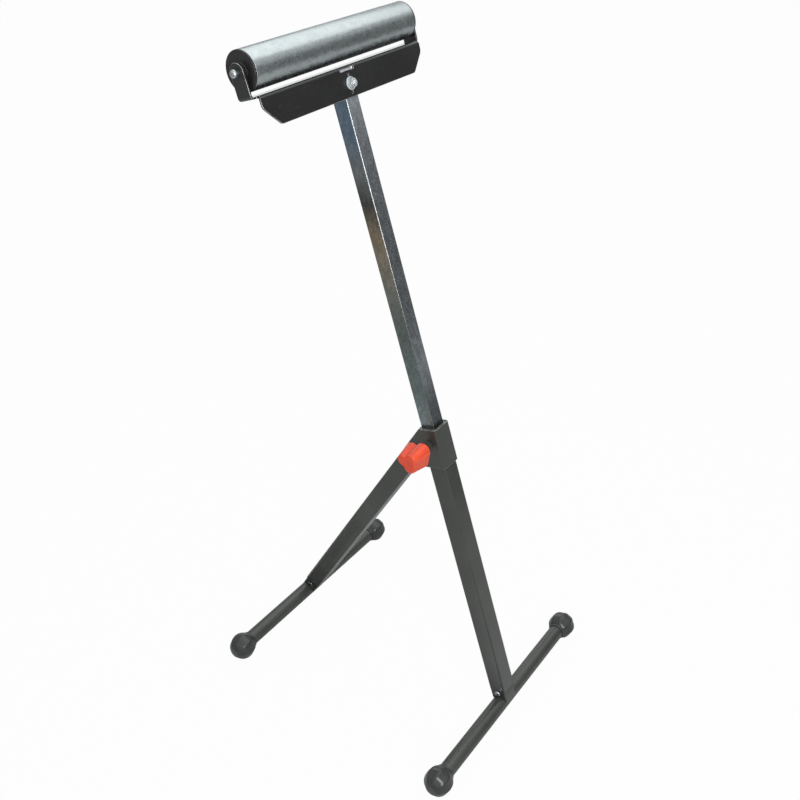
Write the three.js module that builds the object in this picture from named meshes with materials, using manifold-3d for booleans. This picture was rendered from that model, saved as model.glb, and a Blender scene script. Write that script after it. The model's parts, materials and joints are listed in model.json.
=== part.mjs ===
import * as THREE from 'three';
import { mergeVertices } from 'three/addons/utils/BufferGeometryUtils.js';
import Module from 'manifold-3d';

const wasm = await Module();
wasm.setup();

// Folding roller stand. Millimetres, +Z up, +X along the roller, +Y to the rear.
// The origin is on the floor midway between the two foot bars.

// Clearances
const seatGap = 0.3; // between parts that are fastened together
const slideGap = 0.3; // round the sliding post

// Stance of the opened stand
const standDepth = 418.5; // front bar axis to rear bar axis
const mainLean = 18; // degrees that the main leg leans back

// Foot bars
const frontBarSpan = 380; // ball centre to ball centre
const rearBarSpan = 366;
const barDiameter = 25;
const barWall = 1.5;
const barInsert = 8; // bar end past the ball centre

// Ball feet
const ballDiameter = 44.6;
const ballFlat = 0.8; // depth of the flat that rests on the floor
const fluteCount = 8; // flat facets round the ball
const fluteDepth = 1.7; // facet middle below the ridges
const ballNeckWall = 1.6;
const ballNeckReach = 19.5; // neck rim to ball centre

// Square legs
const legSize = 28.5;
const legWall = 1.2;
const legCorner = 2;
const legTop = 508; // along the main leg from the front bar axis
const forkHeight = 24; // front and rear walls are cut back to here
const tongueEnd = 7; // lower tip of the fork tongues
const lugTop = 31; // welded lug inside the fork
const lugWall = 2;
const footScrewHeight = 19.5;

// Guide bush in the mouth of the main leg and the post inside it
const guideWall = 0.95;
const guideDepth = 14;
const guideFlange = 1.6;
const postWall = 1.2;
const postCorner = 1.3;
const postInsert = 108; // post length inside the leg as shown
const postPlugLength = 12;
const postPlugFlange = 6;
const postPlugBore = 10;

// Hinge bracket at the top of the main leg
const bracketSheet = 2.5;
const bracketLip = 2.5; // bracket above the leg mouth
const bracketHeight = 63;
const bracketBend = 2; // inside bend radius
const cheekNose = 17; // past the hinge along the rear leg
const cheekReach = 44; // lower rear corner from the leg axis
const cheekRounding = 8;
const cheekInset = 0.5; // cheek edge below the rear leg's upper face
const hingeDrop = 35; // hinge below the bracket top
const hingeGap = 2; // between the legs when they lie parallel

// Clamp knob
const clampDrop = 23.5; // clamp screw below the bracket top
const knobRadius = 18.8;
const knobLobe = 0.2; // lobe height as a share of the radius
const knobLobeTurn = 54; // degrees from the leg direction to the first lobe
const knobLength = 31;
const knobTaper = 0.72; // outer end against base
const knobNeckRadius = 8.6;
const knobNeckLength = 11.5;
const knobStandoff = 3; // neck to weld nut
const studDepth = 16; // screw end inside the knob body

// Fasteners
const boltM6 = 6;
const flatsM6 = 10;
const nutHeightM6 = 5;
const headHeightM6 = 4;
const washerDiameterM6 = 16;
const panDiameter = 10.6;
const panHeight = 3.6;
const boltM8 = 8;
const flatsM8 = 13;
const nutHeightM8 = 6.5;
const headHeightM8 = 5.3;
const washerDiameterM8 = 17;
const washerThickness = 1.6;
const weldNutHeight = 8;
const threadEnd = 2; // thread showing past a nut

// Roller and axle
const rollerHeight = 1033.5; // roller axis along the main leg from the front bar axis
const rollerSetback = 2.6; // roller axis behind the post axis
const rollerDiameter = 47;
const rollerLength = 289.3;
const rollerEndPlay = 2.15; // free run along the axle each way; the roller rests at the left ear
const rollerWall = 1.2;
const capFlange = 2.5;
const capPlug = 14;
const capWall = 2;
const capRounding = 1.4;
const capRim = 4.5;
const capDish = 0.8;
const capHub = 9.5;
const bushWall = 1.7;
const bushLength = 13;
const bushFlange = 2.9; // spaces the cap from the ear
const bushFlangeWall = 3.7;
const axleDiameter = 6;
const axleStub = 4; // axle past the ears
const axleCapWall = 1.7;
const axleCapCrown = 4.4;

// Head bracket
const headSheet = 2.5;
const headBend = 1.5;
const earBend = 2;
const earWidth = 21.6;
const rollerGap = 4.9; // roller to web
const apronDrop = 34.1;
const apronSetback = 4.4; // apron end to the ear's inner face
const apronChamferWidth = 22;
const apronChamferHeight = 22.5;
const apronRounding = 7;
const apronShoulder = 10; // rounding at the upper end of the chamfer
const apronTopRounding = 4;
const headBoltDrop = 18.3; // bolt below the web
const dimpleDiameter = 3;
const dimpleOffset = 10.2; // small holes above and below the bolt
const slotLength = 25;
const slotHeight = 3;

// Derived sizes
const deg = Math.PI / 180;
const lean = mainLean * deg;
const barRadius = barDiameter / 2;
const ballRadius = ballDiameter / 2;
const barHeight = ballRadius - ballFlat;
const legHalf = legSize / 2;
const legBore = legSize - 2 * legWall;
const lugSize = legBore - 2 * seatGap;
const postSize = lugSize - 2 * guideWall - 2 * slideGap;
const postHalf = postSize / 2;
const postBottom = legTop - postInsert;

const bracketTop = legTop + bracketLip;
const bracketBottom = bracketTop - bracketHeight;
const bracketInner = legHalf + seatGap;
const bracketOuter = bracketInner + bracketSheet;
const clampHeight = bracketTop - clampDrop;
const hingeHeight = bracketTop - hingeDrop;
const hingeBack = legSize + hingeGap;

const hingeY = hingeHeight * Math.sin(lean) + hingeBack * Math.cos(lean);
const hingeZ = hingeHeight * Math.cos(lean) - hingeBack * Math.sin(lean);
const rearLength = Math.hypot(standDepth - hingeY, hingeZ);
const rearAngle = Math.atan2(standDepth - hingeY, hingeZ);
const openAngle = lean + rearAngle;

const rollerRadius = rollerDiameter / 2;
const axleRadius = axleDiameter / 2;
const webTop = rollerHeight - rollerRadius - rollerGap;
const webUnder = webTop - headSheet;
const postTop = webUnder - seatGap;
const apronBottom = webUnder - apronDrop;
const apronInner = postHalf + seatGap;
const apronOuter = apronInner + headSheet;
const earInner = rollerLength / 2 + capFlange + bushFlange + 2 * seatGap + rollerEndPlay;
const earOuter = earInner + headSheet;
const apronEnd = earInner - apronSetback;

// Finishes
const finish = (color, roughness, metalness) =>
  new THREE.MeshStandardMaterial({ color, roughness, metalness });
const darkPaint = finish(0x35363a, 0.42, 0.3);
const blackPaint = finish(0x232322, 0.45, 0.3);
const zinc = finish(0xc3cccd, 0.34, 0.9);
const brightZinc = finish(0xd4d8da, 0.25, 0.95);
const blackPlastic = finish(0x1c1c1d, 0.5, 0);
const darkPlastic = finish(0x303135, 0.45, 0);
const orangePlastic = finish(0xf0512f, 0.45, 0);

const axisX = new THREE.Vector3(1, 0, 0);
const axisY = new THREE.Vector3(0, 1, 0);
const axisZ = new THREE.Vector3(0, 0, 1);

function toSolid(geometry) {
  geometry.deleteAttribute('normal');
  geometry.deleteAttribute('uv');
  const merged = mergeVertices(geometry, 1e-4);
  const corners = merged.getIndex().array;
  const triangles = [];
  for (let i = 0; i < corners.length; i += 3) {
    const [a, b, c] = corners.slice(i, i + 3);
    if (a !== b && b !== c && c !== a) {
      triangles.push(a, b, c);
    }
  }
  return new wasm.Manifold(new wasm.Mesh({
    numProp: 3,
    vertProperties: new Float32Array(merged.getAttribute('position').array),
    triVerts: new Uint32Array(triangles),
  }));
}

function toGeometry(solid) {
  const surface = solid.getMesh();
  const geometry = new THREE.BufferGeometry();
  geometry.setAttribute('position', new THREE.BufferAttribute(surface.vertProperties, 3));
  geometry.setIndex(new THREE.BufferAttribute(surface.triVerts, 1));
  geometry.computeVertexNormals();
  return geometry;
}

// Closed outline through [a, b, radius] corners; a radius rounds its corner with an arc.
function outline(corners) {
  const shape = new THREE.Shape();
  corners.forEach(([a, b, radius = 0], i) => {
    const corner = new THREE.Vector2(a, b);
    if (radius === 0) {
      if (i === 0) {
        shape.moveTo(a, b);
      } else {
        shape.lineTo(a, b);
      }
      return;
    }
    const before = corners[(i + corners.length - 1) % corners.length];
    const after = corners[(i + 1) % corners.length];
    const back = new THREE.Vector2(before[0], before[1]).sub(corner).normalize();
    const ahead = new THREE.Vector2(after[0], after[1]).sub(corner).normalize();
    const half = Math.acos(THREE.MathUtils.clamp(back.dot(ahead), -1, 1)) / 2;
    const reach = radius / Math.tan(half);
    const centre = back.clone().add(ahead).normalize();
    centre.multiplyScalar(radius / Math.sin(half)).add(corner);
    const start = corner.clone().addScaledVector(back, reach).sub(centre);
    const end = corner.clone().addScaledVector(ahead, reach).sub(centre);
    const clockwise = back.cross(ahead) > 0;
    if (i > 0) {
      shape.lineTo(centre.x + start.x, centre.y + start.y);
    }
    shape.absarc(centre.x, centre.y, radius, start.angle(), end.angle(), clockwise);
  });
  return shape;
}

// Sweeps an outline drawn on axes p and q along the third axis, p cross q.
function sweep(shape, p, q, from, to, curveSegments = 2) {
  const along = new THREE.Vector3().crossVectors(p, q);
  const geometry = new THREE.ExtrudeGeometry(shape, {
    depth: to - from,
    bevelEnabled: false,
    curveSegments,
  });
  geometry.translate(0, 0, from);
  geometry.applyMatrix4(new THREE.Matrix4().makeBasis(p, q, along));
  return toSolid(geometry);
}

function disc(radius, a, b) {
  return new THREE.Shape().absarc(a, b, radius, 0, 2 * Math.PI);
}

function rodX(radius, y, z, from, to, curveSegments = 8) {
  return sweep(disc(radius, y, z), axisY, axisZ, from, to, curveSegments);
}

function rodY(radius, x, z, from, to, curveSegments = 8) {
  return sweep(disc(radius, z, x), axisZ, axisX, from, to, curveSegments);
}

function block(x0, x1, y0, y1, z0, z1) {
  const geometry = new THREE.BoxGeometry(x1 - x0, y1 - y0, z1 - z0);
  geometry.translate((x0 + x1) / 2, (y0 + y1) / 2, (z0 + z1) / 2);
  return toSolid(geometry);
}

function square(size, corner) {
  const h = size / 2;
  return outline([[-h, -h, corner], [h, -h, corner], [h, h, corner], [-h, h, corner]]);
}

function squareBar(size, corner, from, to) {
  return sweep(square(size, corner), axisX, axisY, from, to, 2);
}

function squareTube(size, wall, corner, from, to) {
  const bore = squareBar(size - 2 * wall, Math.max(corner - wall, 0.6), from - 1, to + 1);
  return squareBar(size, corner, from, to).subtract(bore);
}

// Folded sheet section: a floor with two arms that reach past it along the second axis.
function channel(inner, floor, reach, sheet, bend) {
  const outer = inner + sheet;
  const base = floor - sheet;
  return outline([
    [-outer, reach],
    [-outer, base, bend + sheet],
    [outer, base, bend + sheet],
    [outer, reach],
    [inner, reach],
    [inner, floor, bend],
    [-inner, floor, bend],
    [-inner, reach],
  ]);
}

function hexagon(flats, a, b) {
  const radius = flats / Math.sqrt(3);
  const corners = [];
  for (let i = 0; i < 6; i += 1) {
    const turn = (i + 0.5) * Math.PI / 3;
    corners.push([a + radius * Math.cos(turn), b + radius * Math.sin(turn)]);
  }
  return outline(corners);
}

// Turns a [radius, station] profile about the X axis, stations growing along +X.
function turned(profile, segments, shapeRadius) {
  const points = profile.map(([radius, station]) => new THREE.Vector2(radius, station));
  const geometry = new THREE.LatheGeometry(points, segments);
  if (shapeRadius) {
    const position = geometry.getAttribute('position');
    for (let i = 0; i < position.count; i += 1) {
      const radius = Math.hypot(position.getX(i), position.getZ(i));
      const turn = Math.atan2(position.getX(i), position.getZ(i));
      const shaped = shapeRadius(radius, turn, position.getY(i));
      position.setX(i, shaped * Math.sin(turn));
      position.setZ(i, shaped * Math.cos(turn));
    }
  }
  geometry.rotateZ(-Math.PI / 2);
  return geometry;
}

function placed(geometry, x, y, z, faceLeft = false) {
  if (faceLeft) {
    geometry.rotateZ(Math.PI);
  }
  geometry.translate(x, y, z);
  return toSolid(geometry);
}

function addPart(parent, name, solid, material) {
  const mesh = new THREE.Mesh(toGeometry(solid), material);
  mesh.name = name;
  parent.add(mesh);
}

const stand = new THREE.Group();
stand.name = 'roller_stand';

// Frames along the two legs; in each, z runs up the leg from its foot bar axis.
const mainFrame = new THREE.Group();
mainFrame.name = 'main_leg_frame';
mainFrame.position.set(0, -standDepth / 2, barHeight);
mainFrame.rotation.x = -lean;
const rearFrame = new THREE.Group();
rearFrame.name = 'rear_leg_frame';
rearFrame.position.set(0, standDepth / 2, barHeight);
rearFrame.rotation.x = rearAngle;
stand.add(mainFrame, rearFrame);

// A square leg whose side walls run on as coped tongues over the foot bar.
function forkedLeg(top) {
  const tongueHalf = legHalf - legWall - seatGap;
  const cutEdge = legHalf + 1;
  return squareTube(legSize, legWall, legCorner, tongueEnd, top)
    .subtract(rodX(barRadius + seatGap, 0, 0, -cutEdge, cutEdge, 14))
    .subtract(block(-cutEdge, cutEdge, tongueHalf, cutEdge, 0, forkHeight))
    .subtract(block(-cutEdge, cutEdge, -cutEdge, -tongueHalf, 0, forkHeight))
    .subtract(rodX(boltM6 / 2 + seatGap, 0, footScrewHeight, -cutEdge, cutEdge));
}

// A round cross bar with a square lug welded on, which the leg's fork slides over.
function footBar(span) {
  const end = span / 2 + barInsert;
  const lug = squareTube(lugSize, lugWall, legCorner - legWall, 0, lugTop)
    .subtract(rodX(barRadius - barWall / 2, 0, 0, -legSize, legSize, 14))
    .subtract(rodX(boltM6 / 2 + seatGap, 0, footScrewHeight, -legSize, legSize));
  return rodX(barRadius, 0, 0, -end, end, 14)
    .add(lug)
    .subtract(rodX(barRadius - barWall, 0, 0, -end - 1, end + 1, 14));
}

function hexBar(flats, from, to, y, z) {
  return sweep(hexagon(flats, y, z), axisY, axisZ, from, to);
}

function ringX(radius, bore, from, to, y, z) {
  return rodX(radius, y, z, from, to, 12).subtract(rodX(bore, y, z, from - 1, to + 1));
}

function addFootScrew(frame, prefix) {
  const seat = legHalf + seatGap;
  const nutEnd = seat + nutHeightM6;
  const panRadius = panDiameter / 2;
  const head = turned([
    [0, -seat - panHeight],
    [panRadius * 0.55, -seat - panHeight * 0.92],
    [panRadius * 0.9, -seat - panHeight * 0.6],
    [panRadius, -seat - panHeight * 0.2],
    [panRadius, -seat],
    [boltM6 / 2, -seat],
    [boltM6 / 2, nutEnd + threadEnd],
    [0, nutEnd + threadEnd],
  ], 18);
  addPart(frame, `${prefix}_foot_screw`, placed(head, 0, 0, footScrewHeight), brightZinc);
  const nut = hexBar(flatsM6, seat, nutEnd, 0, footScrewHeight)
    .subtract(rodX(boltM6 / 2 + seatGap, 0, footScrewHeight, seat - 1, nutEnd + 1));
  addPart(frame, `${prefix}_foot_nut`, nut, brightZinc);
}

// Faceted ball: a sphere on a socket neck, its facets fading out at the neck and at the end.
function ballProfile() {
  const bore = barRadius + seatGap;
  const neck = bore + ballNeckWall;
  const neckStart = -Math.acos(neck / ballRadius);
  const tip = 68 * deg;
  const rows = 9;
  const profile = [
    [0, barInsert + seatGap],
    [bore, barInsert + seatGap],
    [bore, -ballNeckReach],
    [neck, -ballNeckReach],
  ];
  for (let i = 1; i <= rows; i += 1) {
    const latitude = neckStart + (tip - neckStart) * i / rows;
    profile.push([ballRadius * Math.cos(latitude), ballRadius * Math.sin(latitude)]);
  }
  profile.push([0, ballRadius * Math.sin(tip) + 0.7]);
  return profile;
}

// A flat facet's chord lies deepest at its middle; one ridge points straight down.
function flute(radius, turn, station) {
  const bore = barRadius + seatGap;
  if (radius < bore + 0.01 && station < barInsert + 1) {
    return radius;
  }
  const rise = THREE.MathUtils.smoothstep(station, -ballRadius * 0.75, -ballRadius * 0.35);
  const fall = THREE.MathUtils.smoothstep(radius, ballRadius * 0.3, ballRadius * 0.75);
  const half = Math.PI / fluteCount;
  const fromMiddle = THREE.MathUtils.euclideanModulo(turn - Math.PI, 2 * half) - half;
  const dip = (1 - Math.cos(half) / Math.cos(fromMiddle)) / (1 - Math.cos(half));
  return radius - fluteDepth * rise * fall * dip;
}

function addBallFeet(span, y, prefix) {
  for (const [side, faceLeft] of [['left', true], ['right', false]]) {
    const x = faceLeft ? -span / 2 : span / 2;
    const below = block(x - legSize, x + legSize, y - legSize, y + legSize, -10, 0);
    const ball = placed(turned(ballProfile(), 40, flute), x, y, barHeight, faceLeft);
    addPart(stand, `${prefix}_${side}_ball_foot`, ball.subtract(below), darkPlastic);
  }
}

// Main leg, its foot and the guide bush in its mouth
const clampHole = rodX(boltM8 / 2 + seatGap, 0, clampHeight, -legSize, 0);
addPart(mainFrame, 'main_leg', forkedLeg(legTop).subtract(clampHole), darkPaint);
addPart(mainFrame, 'front_foot_bar', footBar(frontBarSpan), darkPaint);
addFootScrew(mainFrame, 'front');
addBallFeet(frontBarSpan, -standDepth / 2, 'front');

const guideBottom = legTop - guideDepth;
const guideTop = legTop + seatGap + guideFlange;
const guideBore = postSize + 2 * slideGap;
const guide = squareBar(lugSize, legCorner - legWall, guideBottom, guideTop)
  .add(squareBar(legSize, legCorner, legTop + seatGap, guideTop))
  .subtract(squareBar(guideBore, postCorner + slideGap, guideBottom - 1, guideTop + 1));
addPart(mainFrame, 'leg_guide_bush', guide, blackPlastic);

// Hinge bracket: a folded U whose cheeks follow the rear leg and end in a rounded nose
const noseAcross = legHalf - cheekInset;
const noseY = hingeBack + cheekNose * Math.sin(openAngle) + noseAcross * Math.cos(openAngle);
const noseZ = hingeHeight - cheekNose * Math.cos(openAngle) + noseAcross * Math.sin(openAngle);
const shoulderY = hingeBack + (noseAcross - hingeDrop * Math.sin(openAngle)) / Math.cos(openAngle);
const cheekOutline = outline([
  [-bracketOuter - 1, bracketBottom],
  [cheekReach, bracketBottom, cheekRounding],
  [noseY, noseZ, cheekRounding],
  [shoulderY, bracketTop],
  [-bracketOuter - 1, bracketTop],
]);
const foldedU = channel(bracketInner, -bracketInner, noseY + 5, bracketSheet, bracketBend);
const hingeHole = rodX(boltM8 / 2 + seatGap, hingeBack, hingeHeight, -legSize, legSize);
const bracket = sweep(foldedU, axisX, axisY, bracketBottom - 1, bracketTop + 1, 3)
  .intersect(sweep(cheekOutline, axisY, axisZ, -legSize, legSize, 4))
  .subtract(hingeHole)
  .subtract(clampHole);
addPart(mainFrame, 'hinge_bracket', bracket, darkPaint);

const hingeWasherSeat = bracketOuter + seatGap;
const hingeNutSeat = hingeWasherSeat + washerThickness + seatGap;
const hingeNutEnd = hingeNutSeat + nutHeightM8;
const hingeBore = boltM8 / 2 + seatGap;
const hingeBolt = hexBar(flatsM8, -hingeNutSeat - headHeightM8, -hingeNutSeat, hingeBack, hingeHeight)
  .add(rodX(boltM8 / 2, hingeBack, hingeHeight, -hingeNutSeat - 1, hingeNutEnd + threadEnd));
addPart(mainFrame, 'hinge_bolt', hingeBolt, brightZinc);
const hingeNut = hexBar(flatsM8, hingeNutSeat, hingeNutEnd, hingeBack, hingeHeight)
  .subtract(rodX(hingeBore, hingeBack, hingeHeight, hingeNutSeat - 1, hingeNutEnd + 1));
addPart(mainFrame, 'hinge_nut', hingeNut, brightZinc);
for (const [side, sign] of [['left', -1], ['right', 1]]) {
  const near = sign * hingeWasherSeat;
  const far = sign * (hingeWasherSeat + washerThickness);
  const washer = ringX(washerDiameterM8 / 2, hingeBore, Math.min(near, far), Math.max(near, far),
    hingeBack, hingeHeight);
  addPart(mainFrame, `hinge_washer_${side}`, washer, brightZinc);
}

// Clamp: weld nut on the left cheek, three-lobed knob with a moulded-in screw
const weldNutSeat = bracketOuter + seatGap;
const weldNutEnd = weldNutSeat + weldNutHeight;
const weldNut = hexBar(flatsM8, -weldNutEnd, -weldNutSeat, 0, clampHeight)
  .subtract(rodX(boltM8 / 2 + seatGap, 0, clampHeight, -weldNutEnd - 1, -weldNutSeat + 1));
addPart(mainFrame, 'clamp_weld_nut', weldNut, darkPaint);

const knobBase = weldNutEnd + knobStandoff + knobNeckLength;
const screwTip = postHalf + slideGap;
const screwEnd = knobBase + studDepth;
const screwRadius = boltM8 / 2;
const screw = turned([
  [0, screwTip],
  [screwRadius - 1, screwTip],
  [screwRadius, screwTip + 1],
  [screwRadius, screwEnd],
  [0, screwEnd],
], 20);
addPart(mainFrame, 'clamp_screw', placed(screw, 0, 0, clampHeight, true), brightZinc);

const knobBore = screwRadius + seatGap;
const knobEndRadius = knobRadius * knobTaper;
const knobProfile = [
  [0, studDepth + seatGap],
  [knobBore, studDepth + seatGap],
  [knobBore, -knobNeckLength],
  [knobNeckRadius, -knobNeckLength],
  [knobNeckRadius, -1.2],
  [knobNeckRadius + 1.2, 0],
  [knobRadius * 0.93, 0],
  [knobRadius * 0.98, 0.5],
  [knobRadius, 1.8],
  [(knobRadius + knobEndRadius) / 2, knobLength * 0.5],
  [knobEndRadius, knobLength - 3.2],
  [knobEndRadius * 0.96, knobLength - 1.4],
  [knobEndRadius * 0.86, knobLength - 0.3],
  [knobEndRadius * 0.75, knobLength],
  [knobEndRadius * 0.5, knobLength - 0.6],
  [0, knobLength - 0.9],
];
// The lobes grow from the round neck; the turn is counted from the leg direction to the rear.
function lobe(radius, turn, station) {
  if (radius < knobNeckRadius + 0.01 && station < studDepth + 1) {
    return radius;
  }
  const grow = THREE.MathUtils.smoothstep(radius, knobNeckRadius, knobEndRadius * 0.75);
  return radius * (1 + grow * knobLobe * Math.cos(3 * (turn - knobLobeTurn * deg)));
}
const knob = placed(turned(knobProfile, 33, lobe).translate(knobBase, 0, 0), 0, 0, clampHeight, true);
addPart(mainFrame, 'clamp_knob', knob, orangePlastic);

// Rear leg: mitred to rest on the main leg's back, its front corner rounded to swing clear
const stop = legHalf + hingeGap - seatGap;
const mitre = [];
for (let i = 0; i <= 6; i += 1) {
  const turn = 10 * deg + (openAngle - 10 * deg) * i / 6;
  mitre.push([-stop * Math.cos(turn), rearLength + stop * Math.sin(turn)]);
}
const mitreTop = 3 * legSize;
const tip = mitre[mitre.length - 1];
const rearEnvelope = outline([
  [-legSize, 0],
  [legSize * 3, 0],
  [tip[0] + mitreTop * Math.sin(openAngle), tip[1] + mitreTop * Math.cos(openAngle)],
  ...mitre.reverse(),
  [-legSize, rearLength],
]);
const rearLeg = forkedLeg(rearLength + 3 * legSize)
  .intersect(sweep(rearEnvelope, axisY, axisZ, -legSize, legSize))
  .subtract(rodX(boltM8 / 2 + seatGap, 0, rearLength, -legSize, legSize));
addPart(rearFrame, 'rear_leg', rearLeg, darkPaint);
addPart(rearFrame, 'rear_foot_bar', footBar(rearBarSpan), darkPaint);
addFootScrew(rearFrame, 'rear');
addBallFeet(rearBarSpan, standDepth / 2, 'rear');

// Post and its bottom guide
const headBoltHeight = webUnder - headBoltDrop;
const headBoltHole = rodY(boltM6 / 2 + seatGap, 0, headBoltHeight, -legSize, legSize);
const post = squareTube(postSize, postWall, postCorner, postBottom, postTop).subtract(headBoltHole);
addPart(mainFrame, 'post', post, zinc);

const plugSize = postSize - 2 * postWall - 2 * seatGap;
const plugSeat = postBottom - seatGap;
const plugFoot = plugSeat - postPlugFlange;
const plugTop = postBottom + postPlugLength;
const plugBore = sweep(disc(postPlugBore / 2, 0, 0), axisX, axisY, plugFoot - 1, plugTop + 1, 8);
const postPlug = squareBar(lugSize, legCorner - legWall, plugFoot, plugSeat)
  .add(squareBar(plugSize, postCorner - postWall, plugFoot, plugTop))
  .subtract(plugBore);
addPart(mainFrame, 'post_bottom_guide', postPlug, blackPlastic);

// Head bracket: one folded sheet, an apron down the post's front and ears up to the axle
const earFront = rollerSetback - earWidth / 2;
const earRear = rollerSetback + earWidth / 2;
const headSection = outline([
  [-apronOuter, apronBottom],
  [-apronInner, apronBottom],
  [-apronInner, webUnder, headBend],
  [earRear, webUnder],
  [earRear, webTop],
  [-apronOuter, webTop, headBend + headSheet],
]);
const apronOutline = outline([
  [-apronEnd + apronChamferWidth, apronBottom, apronRounding],
  [apronEnd - apronChamferWidth, apronBottom, apronRounding],
  [apronEnd, apronBottom + apronChamferHeight, apronShoulder],
  [apronEnd, webTop, apronTopRounding],
  [-apronEnd, webTop, apronTopRounding],
  [-apronEnd, apronBottom + apronChamferHeight, apronShoulder],
]);
const earTop = rollerHeight + earWidth / 2;
const earSection = channel(earInner, webTop, earTop + 1, headSheet, earBend);
const earOutline = outline([
  [earFront, webUnder - 1],
  [earRear, webUnder - 1],
  [earRear, earTop, earWidth * 0.499],
  [earFront, earTop, earWidth * 0.499],
]);
const slot = outline([
  [-slotLength / 2, webUnder - slotHeight, slotHeight * 0.4],
  [slotLength / 2, webUnder - slotHeight, slotHeight * 0.4],
  [slotLength / 2, webUnder, slotHeight * 0.4],
  [-slotLength / 2, webUnder, slotHeight * 0.4],
]);
const apron = sweep(headSection, axisY, axisZ, -apronEnd, apronEnd, 3)
  .intersect(sweep(apronOutline, axisX, axisZ, -legSize, legSize, 3));
const ears = sweep(earSection, axisX, axisZ, -earRear, -earFront, 3)
  .intersect(sweep(earOutline, axisY, axisZ, -earOuter - 1, earOuter + 1, 6));
let head = apron.add(ears)
  .subtract(rodX(axleRadius + seatGap, rollerSetback, rollerHeight, -earOuter - 1, earOuter + 1))
  .subtract(headBoltHole)
  .subtract(sweep(slot, axisX, axisZ, 0, legSize));
for (const offset of [-dimpleOffset, dimpleOffset]) {
  head = head.subtract(rodY(dimpleDiameter / 2, 0, headBoltHeight + offset, -legSize, 0, 6));
}
addPart(mainFrame, 'head_bracket', head, blackPaint);

// Head bolt from the rear of the post, nut on the apron
const nutWasher = -apronOuter - seatGap;
const nutSeat = nutWasher - washerThickness - seatGap;
const nutEnd = nutSeat - nutHeightM6;
const nutBore = boltM6 / 2 + seatGap;
const boltWasher = postHalf + seatGap;
const boltSeat = boltWasher + washerThickness + seatGap;
const headHex = hexagon(flatsM6, headBoltHeight, 0);
const headBolt = sweep(headHex, axisZ, axisX, boltSeat, boltSeat + headHeightM6)
  .add(rodY(boltM6 / 2, 0, headBoltHeight, nutEnd - threadEnd, boltSeat + 1));
addPart(mainFrame, 'head_bolt', headBolt, brightZinc);
const headNut = sweep(headHex, axisZ, axisX, nutEnd, nutSeat)
  .subtract(rodY(nutBore, 0, headBoltHeight, nutEnd - 1, nutSeat + 1));
addPart(mainFrame, 'head_nut', headNut, brightZinc);
for (const [side, from] of [['front', nutWasher - washerThickness], ['rear', boltWasher]]) {
  const to = from + washerThickness;
  const washer = rodY(washerDiameterM6 / 2, 0, headBoltHeight, from, to, 12)
    .subtract(rodY(nutBore, 0, headBoltHeight, from - 1, to + 1));
  addPart(mainFrame, `head_washer_${side}`, washer, brightZinc);
}

// Roller, end caps, bushes and axle
const tubeEnd = rollerLength / 2;
const tubeLeft = -tubeEnd - rollerEndPlay;
const tubeRight = tubeEnd - rollerEndPlay;
const tubeBore = rollerRadius - rollerWall;
const rollerTube = rodX(rollerRadius, rollerSetback, rollerHeight, tubeLeft, tubeRight, 28)
  .subtract(rodX(tubeBore, rollerSetback, rollerHeight, tubeLeft - 1, tubeRight + 1, 28));
addPart(mainFrame, 'roller_tube', rollerTube, zinc);

const axleBore = axleRadius + seatGap;
const bushRadius = axleBore + bushWall;
const bushFlangeRadius = axleBore + bushFlangeWall;
const hubBore = bushRadius + seatGap;
const plugRadius = tubeBore - seatGap;
const capProfile = [
  [hubBore, -capPlug],
  [capHub, -capPlug],
  [capHub, 0],
  [plugRadius - capWall, 0],
  [plugRadius - capWall, -capPlug],
  [plugRadius, -capPlug],
  [plugRadius, seatGap],
  [rollerRadius, seatGap],
  [rollerRadius, capFlange - capRounding],
  [rollerRadius - capRounding * 0.3, capFlange - capRounding * 0.3],
  [rollerRadius - capRounding, capFlange],
  [rollerRadius - capRim, capFlange],
  [rollerRadius - capRim - capDish, capFlange - capDish],
  [capHub + capDish, capFlange - capDish],
  [capHub, capFlange],
  [hubBore, capFlange],
  [hubBore, -capPlug],
];
const bushSeat = capFlange + seatGap;
const bushProfile = [
  [axleBore, bushSeat - bushLength],
  [bushRadius, bushSeat - bushLength],
  [bushRadius, bushSeat],
  [bushFlangeRadius, bushSeat],
  [bushFlangeRadius, bushSeat + bushFlange],
  [axleBore, bushSeat + bushFlange],
  [axleBore, bushSeat - bushLength],
];
const axleEnd = earOuter + axleStub;
const axleCapSeat = earOuter + seatGap;
const axleCapRadius = axleBore + axleCapWall;
const axleCapProfile = [
  [0, axleEnd + seatGap],
  [axleBore, axleEnd + seatGap],
  [axleBore, axleCapSeat],
  [axleCapRadius, axleCapSeat],
  [axleCapRadius, axleEnd],
  [axleCapRadius * 0.92, axleEnd + axleCapCrown * 0.39],
  [axleCapRadius * 0.71, axleEnd + axleCapCrown * 0.71],
  [axleCapRadius * 0.39, axleEnd + axleCapCrown * 0.92],
  [0, axleEnd + axleCapCrown],
];
const rollerAt = [rollerSetback, rollerHeight];
for (const [side, faceLeft, tubeFace] of [['left', true, tubeLeft], ['right', false, tubeRight]]) {
  const cap = placed(turned(capProfile, 32), tubeFace, ...rollerAt, faceLeft);
  addPart(mainFrame, `roller_end_cap_${side}`, cap, blackPlastic);
  const bush = placed(turned(bushProfile, 20), tubeFace, ...rollerAt, faceLeft);
  addPart(mainFrame, `roller_bush_${side}`, bush, blackPlastic);
  const pushCap = turned(axleCapProfile, 20);
  addPart(mainFrame, `axle_cap_${side}`, placed(pushCap, 0, ...rollerAt, faceLeft), brightZinc);
}
addPart(mainFrame, 'axle', rodX(axleRadius, ...rollerAt, -axleEnd, axleEnd), brightZinc);

export default stand;
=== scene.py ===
import json
import math

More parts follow.
